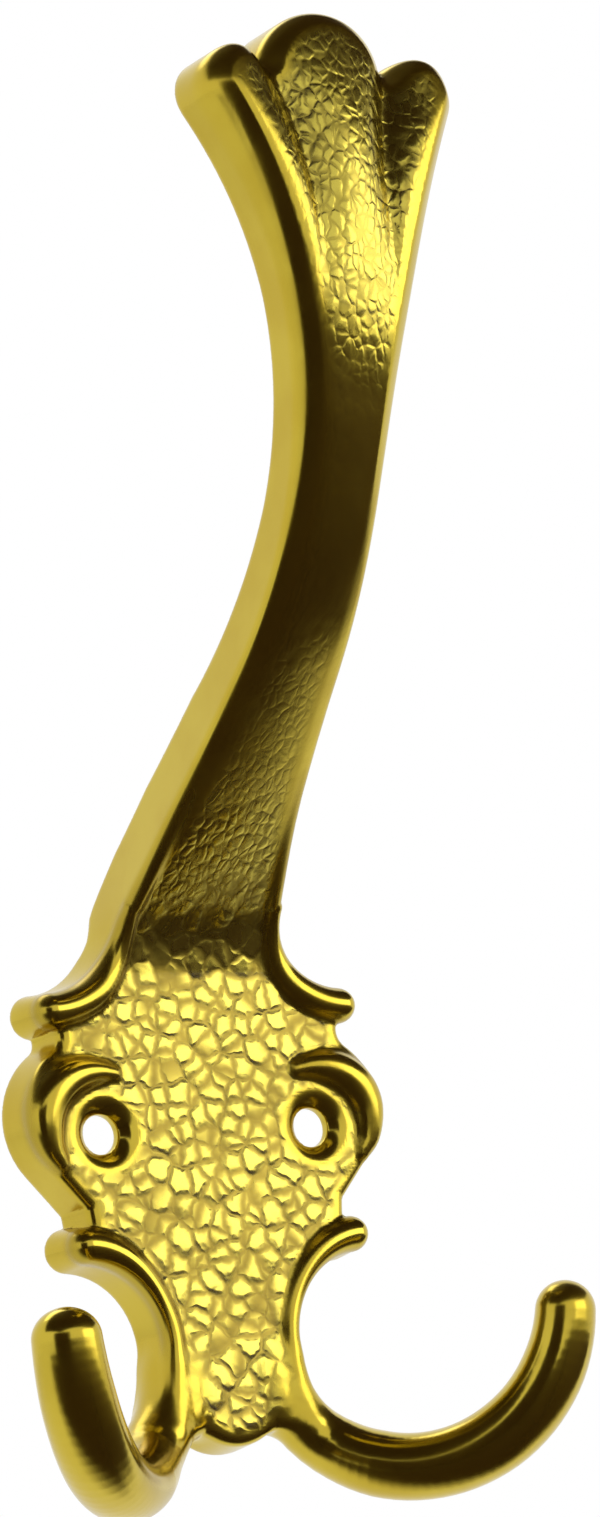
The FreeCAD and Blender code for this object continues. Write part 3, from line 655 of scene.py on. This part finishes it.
# %% Settle the vertices on the surface
ROUNDS, DRIFT_ROUNDS, DRIFT = 5, 3, 0.6
SETTLE_REACH, NORMAL_REACH, LONGEST_MOVE = 0.05, 0.25, 0.3 * CELL


def slope(field, points, reach):
    """Rise of a field along the three axes, from differences over a short reach."""
    rises = [(in_parts(field, points + reach * axis) - in_parts(field, points - reach * axis))
             / (2 * reach) for axis in np.eye(3)]
    return np.stack(rises, -1)


def relax(points, rings):
    """Mean of the vertices that share an edge with each vertex."""
    total, shares = np.zeros(points.shape), np.zeros(len(points))
    for one, two in ((0, 1), (1, 2), (2, 3), (3, 0), (1, 0), (2, 1), (3, 2), (0, 3)):
        shares += np.bincount(rings[:, one], minlength=len(points))
        for axis in range(3):
            total[:, axis] += np.bincount(rings[:, one], points[rings[:, two], axis], len(points))
    return total / shares[:, None]


for turn in range(ROUNDS):
    if turn < DRIFT_ROUNDS:
        vertices += DRIFT * (relax(vertices, faces) - vertices)
    rise = slope(casting, vertices, SETTLE_REACH)
    step = in_parts(casting, vertices) / np.maximum((rise ** 2).sum(axis=1), 0.2)
    vertices -= np.clip(step, -LONGEST_MOVE, LONGEST_MOVE)[:, None] * rise
rise = slope(casting, vertices, NORMAL_REACH)
outward = rise / np.linalg.norm(rise, axis=1)[:, None]
print("largest distance left:", np.abs(in_parts(casting, vertices)).max().round(3), "mm")

# %% [markdown]
# ## Where the hammer went
# The pattern lies on the face only: the scrolls, the edges, the sides and the hooks were
# polished smooth, and on the arm's long bend the wheel has nearly taken it off. Three values
# are stored at each vertex for the finish: how much of the pattern shows, how deep in a fold
# the place lies, and its place along the face, so that the cells keep their size where the
# arm leans out.

# %% Values for the finish
def finish_values(points):
    """Hammered share, fold and place along the face of each point."""
    folded = np.stack([np.abs(points[:, 0]), points[:, 1], points[:, 2]], -1)
    x, out, z = folded.T
    side = look_up(side_map, x, z)
    depth = out - look_up(face_map, x, z) + bevel(side, z)
    raised, hook = scrolls(folded), roll(hook_frame(folded), HOOK_LINE, HOOK_RADII)
    arm, lobed, edge_x, length = (look_up(np.broadcast_to(table, map_x.shape), x, z)
                                  for table in (on_arm, fan, crest, row_length))
    # the pattern fades out beside the scrolls and the hooks
    bare = smooth((raised - 0.15) / 0.5) * smooth((hook - 0.3) / 1.2)
    # it ends short of the outline, sooner on the arm, and isn't on the sides
    rim = smooth((-side - 0.8 - 1.2 * arm) / 1.4) * smooth((depth + 0.9) / 0.6)
    # a smooth ring stays round each screw, and the crests of the side lobes are rubbed
    screw = smooth((np.hypot(x - HOLE_X, z) - SINK_RADIUS - 0.5) / 1.2)
    ridge = 0.85 * np.exp(-((x - edge_x) / 0.7) ** 2) * lobed
    # from the root to the fan it is worn
    worn = np.interp(z, [25, 37, 68, 80, 112], [1, 0.3, 0.25, 1, 1])
    # a fold is where the plate's surface and a roll's surface are both close
    meeting = np.abs(plate_and_arm(folded)) + np.minimum(np.abs(raised), np.abs(hook))
    along = np.stack([points[:, 0], 0 * length, length], -1) * MM
    return bare * rim * screw * (1 - ridge) * worn, np.exp(-(meeting / 0.55) ** 2), along


hammered, fold, along = finish_values(vertices)
print("hammered share of the vertices:", (hammered > 0.5).mean().round(2))

# %% [markdown]
# The skin becomes a mesh in metres, with the wall at y = 0 and the room on the side of -y.
# Turning that axis round also turns the faces, so their corners are listed backwards. It
# stands in for the frame's casting and rides on the frame's root.

# %% Put the skin into a mesh
mesh = bpy.data.meshes.new("cast_hook")
placed, rings = vertices * (MM, -MM, MM), faces[:, ::-1]
mesh.from_pydata(placed, [], rings)
mesh.polygons.foreach_set("use_smooth", np.ones(len(faces), bool))
for name, numbers in (("hammered", hammered), ("fold", fold)):
    mesh.attributes.new(name, "FLOAT", "POINT").data.foreach_set("value", numbers)
mesh.attributes.new("along", "FLOAT_VECTOR", "POINT").data.foreach_set("vector", along.ravel())
mesh.normals_split_custom_set_from_vertices(outward * (1, -1, 1))
mesh.update()
cast_hook = bpy.data.objects.new("cast_hook", mesh)
bpy.context.scene.collection.objects.link(cast_hook)
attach(cast_hook, "root")
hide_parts("robe_hook")
corners = placed[rings]
first, second = corners[:, 2] - corners[:, 0], corners[:, 3] - corners[:, 1]
enclosed = (corners.mean(axis=1) * np.cross(first, second) / 2).sum() / 3
print("metal:", round(enclosed / MM ** 3), "mm3,", 2 * len(faces), "triangles")

# %% [markdown]
# ## The gold finish
# Materials are chains of small steps, so four helpers come first: one makes a node with its
# inputs, the others do a sum, carry a value over to another range, and blend two colours.

# %% Helpers for materials
def node(tree, kind, **settings):
    """New node with its settings, and its inputs given by name or number."""
    made, values = tree.nodes.new(kind), settings.pop("inputs", {})
    for key, value in settings.items():
        setattr(made, key, value)
    for key, value in values.items():
        if isinstance(value, bpy.types.NodeSocket):
            tree.links.new(value, made.inputs[key])
        else:
            made.inputs[key].default_value = value
    return made


def calculate(tree, operation, *values):
    """Result of a Math node."""
    return node(tree, "ShaderNodeMath", operation=operation,
                inputs=dict(enumerate(values))).outputs[0]


def ramp(tree, value, low, high, first, last):
    """Value carried smoothly from one range to another."""
    return node(tree, "ShaderNodeMapRange", interpolation_type="SMOOTHSTEP",
                inputs={"Value": value, "From Min": low, "From Max": high,
                        "To Min": first, "To Max": last}).outputs["Result"]


def mix_colour(tree, share, first, second):
    """Blend of two colours, each a socket or three numbers."""
    first, second = ((*c, 1) if isinstance(c, tuple) else c for c in (first, second))
    return node(tree, "ShaderNodeMix", data_type="RGBA",
                inputs={0: share, 6: first, 7: second}).outputs[2]


gold = bpy.data.materials.new("gold_finish")
gold.use_nodes = True
tree, shader = gold.node_tree, gold.node_tree.nodes["Principled BSDF"]
print("material starts with:", [part.name for part in tree.nodes])

# %% [markdown]
# The cells of the hammered face are a Voronoi pattern: each cell is a low dome, and the lines
# between cells are cut deeper. A slow wobble keeps the lines from being straight. The plate's
# cells are 2.3 mm wide; on the arm and the fan they are smaller, and longer than wide, as if
# the punch had been drawn along.

# %% Hammered cells
PLATE_CELL, ARM_CELL_WIDTH, ARM_CELL_LENGTH = 0.0023, 0.0009, 0.0015
ARM_HEIGHT, ARM_LINE, WOBBLE, WOBBLE_SCALE = 0.38, 0.5, 0.0016, 420.0


def hammer_cells(vector, width, length):
    """Height of the domes, with the lines cut into it, and the share of the lines.

    A dome is 0.5 less the square of the distance from the cell's middle.
    """
    scaled = node(tree, "ShaderNodeVectorMath", operation="MULTIPLY",
                  inputs={0: vector, 1: (1 / width, 1.0, 1 / length)}).outputs[0]
    pattern = {"Vector": scaled, "Scale": 1.0, "Randomness": 0.9}
    dome = node(tree, "ShaderNodeTexVoronoi", feature="SMOOTH_F1",
                inputs={**pattern, "Smoothness": 0.35}).outputs["Distance"]
    gap = node(tree, "ShaderNodeTexVoronoi", feature="DISTANCE_TO_EDGE",
               inputs=pattern).outputs["Distance"]
    line = ramp(tree, gap, 0.0, 0.24, 1.0, 0.0)
    round_top = calculate(tree, "SUBTRACT", 0.5, calculate(tree, "MULTIPLY", dome, dome))
    return calculate(tree, "MULTIPLY_ADD", line, -0.22, round_top), line


along_face = node(tree, "ShaderNodeAttribute", attribute_name="along").outputs["Vector"]
shown = node(tree, "ShaderNodeAttribute", attribute_name="hammered").outputs["Fac"]
wobble = node(tree, "ShaderNodeTexNoise", inputs={
    "Vector": along_face, "Scale": WOBBLE_SCALE, "Detail": 2.0}).outputs["Color"]
bent = node(tree, "ShaderNodeVectorMath", operation="MULTIPLY_ADD",
            inputs={0: wobble, 1: (WOBBLE, 0.0, WOBBLE), 2: along_face}).outputs[0]
plate_height, plate_line = hammer_cells(bent, PLATE_CELL, PLATE_CELL)
arm_height, arm_line = hammer_cells(bent, ARM_CELL_WIDTH, ARM_CELL_LENGTH)
upward = node(tree, "ShaderNodeSeparateXYZ", inputs={0: along_face}).outputs["Z"]
arm_share = ramp(tree, upward, 0.058, 0.075, 0.0, 1.0)
plate_share = calculate(tree, "SUBTRACT", 1.0, arm_share)
height = calculate(tree, "MULTIPLY_ADD", plate_height, plate_share, calculate(
    tree, "MULTIPLY", arm_height, calculate(tree, "MULTIPLY", arm_share, ARM_HEIGHT)))
line = calculate(tree, "MULTIPLY_ADD", plate_line, plate_share, calculate(
    tree, "MULTIPLY", arm_line, calculate(tree, "MULTIPLY", arm_share, ARM_LINE)))
height, line = (calculate(tree, "MULTIPLY", part, shown) for part in (height, line))
print("nodes after the hammering:", len(tree.nodes))

# %% [markdown]
# The casting is plated and polished: a metal with a strong yellow, a little roughness and a
# thin clear lacquer. The tone drifts in soft patches. The lines and the folds are darker and
# shine less, the hammered face gets a paler gold as a painted sheen, and the polishing wheel
# has left streaks along the casting, so that the smooth parts don't look new.

# %% Gold
GOLD, DEEP_GOLD, DARKENED_GOLD = (0.56, 0.425, 0.042), (0.50, 0.355, 0.026), (0.22, 0.145, 0.018)
# painted sheen: a paler, bluer gold that the hammered face gets in place of its pale highlights
PAINTED_SHEEN_GOLD = (0.60, 0.50, 0.080)
# how much darker the hammered lines and the folds beside the rolls are made
LINE_DARKENING, FOLD_DARKENING, HAMMER_DEPTH = 0.8, 0.6, 0.00022

on_object = node(tree, "ShaderNodeTexCoord").outputs["Object"]
drawn_out = node(tree, "ShaderNodeVectorMath", operation="MULTIPLY",
                 inputs={0: on_object, 1: (1.0, 1.0, 0.12)}).outputs[0]
streaks = node(tree, "ShaderNodeTexNoise", inputs={
    "Vector": drawn_out, "Scale": 1300.0, "Detail": 3.0}).outputs["Fac"]
patches = node(tree, "ShaderNodeTexNoise", inputs={
    "Vector": on_object, "Scale": 120.0, "Detail": 4.0}).outputs["Fac"]
in_fold = node(tree, "ShaderNodeAttribute", attribute_name="fold").outputs["Fac"]
# the hammered lines and the folds are mixed towards a dark gold and made rougher
darkening = calculate(tree, "MAXIMUM", calculate(tree, "MULTIPLY", line, LINE_DARKENING),
                 calculate(tree, "MULTIPLY", in_fold, FOLD_DARKENING))
tone = mix_colour(tree, ramp(tree, patches, 0.35, 0.7, 0.0, 0.6), GOLD, DEEP_GOLD)
# painted sheen: the hammered face is mixed towards the paler gold
tone = mix_colour(tree, calculate(tree, "MULTIPLY", shown, 0.8), tone, PAINTED_SHEEN_GOLD)
rough = calculate(tree, "MULTIPLY_ADD", darkening, 0.25, ramp(tree, patches, 0.3, 0.7, 0.14, 0.24))
bump = node(tree, "ShaderNodeBump", inputs={
    "Height": calculate(tree, "MULTIPLY_ADD", streaks, 0.03, height), "Distance": HAMMER_DEPTH})
tree.links.new(mix_colour(tree, darkening, tone, DARKENED_GOLD), shader.inputs["Base Color"])
tree.links.new(rough, shader.inputs["Roughness"])
tree.links.new(bump.outputs["Normal"], shader.inputs["Normal"])
shader.inputs["Metallic"].default_value = 1.0
shader.inputs["Coat Weight"].default_value = 0.12
shader.inputs["Coat Roughness"].default_value = 0.08
mesh.materials.append(gold)
print("material nodes:", len(tree.nodes))

# %% [markdown]
# ## Studio
# Polished metal looks like what stands round it. The photograph shows a pale studio, and
# darkness below, above and behind the camera, which is what paints the arm and the hooks
# brown. Dark cards that only reflections can see stand there, as a product photographer
# would set them, with soft edges so that the brown runs out gently.

# %% Floor and cards
FLOOR_Z, FLOOR_SIZE, FLOOR_COLOUR = -0.30, 8.0, (0.85, 0.85, 0.84)
DARK, SOFT_EDGE = (0.045, 0.022, 0.018), 0.14
# each card: its middle, the direction it faces, its width and its length
CARDS = {
    "card_below": ((-0.46, -1.23, -0.27), (0, 0, 1), 1.44, 2.64),
    "card_below_right": ((0.78, -1.415, -0.26), (0, 0, 1), 1.56, 2.91),
    "card_camera_side": ((-0.79, -0.68, -0.08), (0.72, 0.69, 0.0), 1.0, 1.04),
    "card_above": ((0.0, -0.34, 0.62), (0, 0, -1), 2.8, 1.42),
}


def matt(name, colour):
    """Plain matt material."""
    made = bpy.data.materials.new(name)
    made.use_nodes = True
    made.node_tree.nodes["Principled BSDF"].inputs["Base Color"].default_value = (*colour, 1)
    made.node_tree.nodes["Principled BSDF"].inputs["Roughness"].default_value = 0.9
    return made


def plane(name, centre, normal, width, height, material):
    """Flat card that faces along its normal.

    Two attributes hold each corner's place on the card and the card's half sizes.
    """
    turned = Vector(normal).to_track_quat("Z", "Y").to_matrix()
    spots = [Vector((u * width / 2, v * height / 2, 0))
             for u, v in ((-1, -1), (1, -1), (1, 1), (-1, 1))]
    card_mesh = bpy.data.meshes.new(name)
    card_mesh.from_pydata([Vector(centre) + turned @ spot for spot in spots], [], [(0, 1, 2, 3)])
    for attribute, rows in (("spot", spots), ("reach", [spots[2]] * 4)):
        made = card_mesh.attributes.new(attribute, "FLOAT_VECTOR", "POINT")
        made.data.foreach_set("vector", np.array(rows).ravel())
    card_mesh.materials.append(material)
    card = bpy.data.objects.new(name, card_mesh)
    bpy.context.scene.collection.objects.link(card)
    return card


floor = plane("floor", (0, 0, FLOOR_Z), (0, 0, 1), FLOOR_SIZE, FLOOR_SIZE,
              matt("floor", FLOOR_COLOUR))
dark = matt("dark_card", DARK)
dark_tree = dark.node_tree
spot, reach = (node(dark_tree, "ShaderNodeAttribute", attribute_name=name).outputs["Vector"]
               for name in ("spot", "reach"))
off_middle = node(dark_tree, "ShaderNodeVectorMath", operation="ABSOLUTE", inputs={0: spot})
to_edge = node(dark_tree, "ShaderNodeVectorMath", operation="SUBTRACT",
               inputs={0: reach, 1: off_middle.outputs[0]})
edges = node(dark_tree, "ShaderNodeSeparateXYZ", inputs={0: to_edge.outputs[0]}).outputs
solid = [ramp(dark_tree, edges[axis], 0.0, SOFT_EDGE, 0.0, 1.0) for axis in (0, 1)]
dark_tree.links.new(calculate(dark_tree, "MULTIPLY", *solid),
                    dark_tree.nodes["Principled BSDF"].inputs["Alpha"])
for name, (centre, normal, width, length) in CARDS.items():
    card = plane(name, centre, normal, width, length, dark)
    card.visible_camera = card.visible_shadow = card.visible_diffuse = False
print("cards:", list(CARDS))

# %% [markdown]
# One soft panel stands to the right of the camera. The upright plate and the fan mirror it,
# which makes them the brightest places of the photograph. A second panel above and behind
# lays the object's soft shadow on the floor in front of it.

# %% Lamps
MIDDLE = (0.0, -0.02, 0.04)


def lamp(name, centre, width, height, power):
    """Soft rectangular lamp that looks at the middle of the object."""
    light = bpy.data.lights.new(name, "AREA")
    light.shape, light.size, light.size_y, light.energy = "RECTANGLE", width, height, power
    thing = bpy.data.objects.new(name, light)
    thing.location = centre
    thing.rotation_euler = (Vector(MIDDLE) - Vector(centre)).to_track_quat("-Z", "Y").to_euler()
    bpy.context.scene.collection.objects.link(thing)


lamp("panel_right", (0.75, -0.95, 0.22), 1.0, 0.60, 3.5)
lamp("panel_above", (-0.1, 0.5, 1.1), 0.8, 0.8, 3.0)

# %% [markdown]
# The photograph's background is white. The world is white for the camera, for reflections
# and through clear parts, and dimmer where it only lights. The floor glows a little for the
# same rays, so that it stays as pale as the world but still takes the object's shadow.

# %% White background
FLOOR_GLOW, FILL = 0.4, 0.55


def seen_ray(tree):
    """1 for rays of the camera, reflections and clear glass, 0 for those that only light."""
    rays = node(tree, "ShaderNodeLightPath").outputs
    seen = calculate(tree, "MAXIMUM", rays["Is Camera Ray"], rays["Is Glossy Ray"])
    return calculate(tree, "MAXIMUM", seen, rays["Is Transmission Ray"])


floor_tree = floor.data.materials[0].node_tree
floor_shader = floor_tree.nodes["Principled BSDF"]
floor_shader.inputs["Emission Color"].default_value = (1, 1, 1, 1)
floor_tree.links.new(calculate(floor_tree, "MULTIPLY", seen_ray(floor_tree), FLOOR_GLOW),
                     floor_shader.inputs["Emission Strength"])
world = bpy.data.worlds.new("studio")
world.use_nodes = True
bpy.context.scene.world = world
background = world.node_tree.nodes["Background"]
background.inputs["Color"].default_value = (1, 1, 1, 1)
world.node_tree.links.new(
    calculate(world.node_tree, "MULTIPLY_ADD", seen_ray(world.node_tree), 1 - FILL, FILL),
    background.inputs["Strength"])
bpy.context.scene.view_settings.view_transform = "Standard"
print("view transform:", bpy.context.scene.view_settings.view_transform)
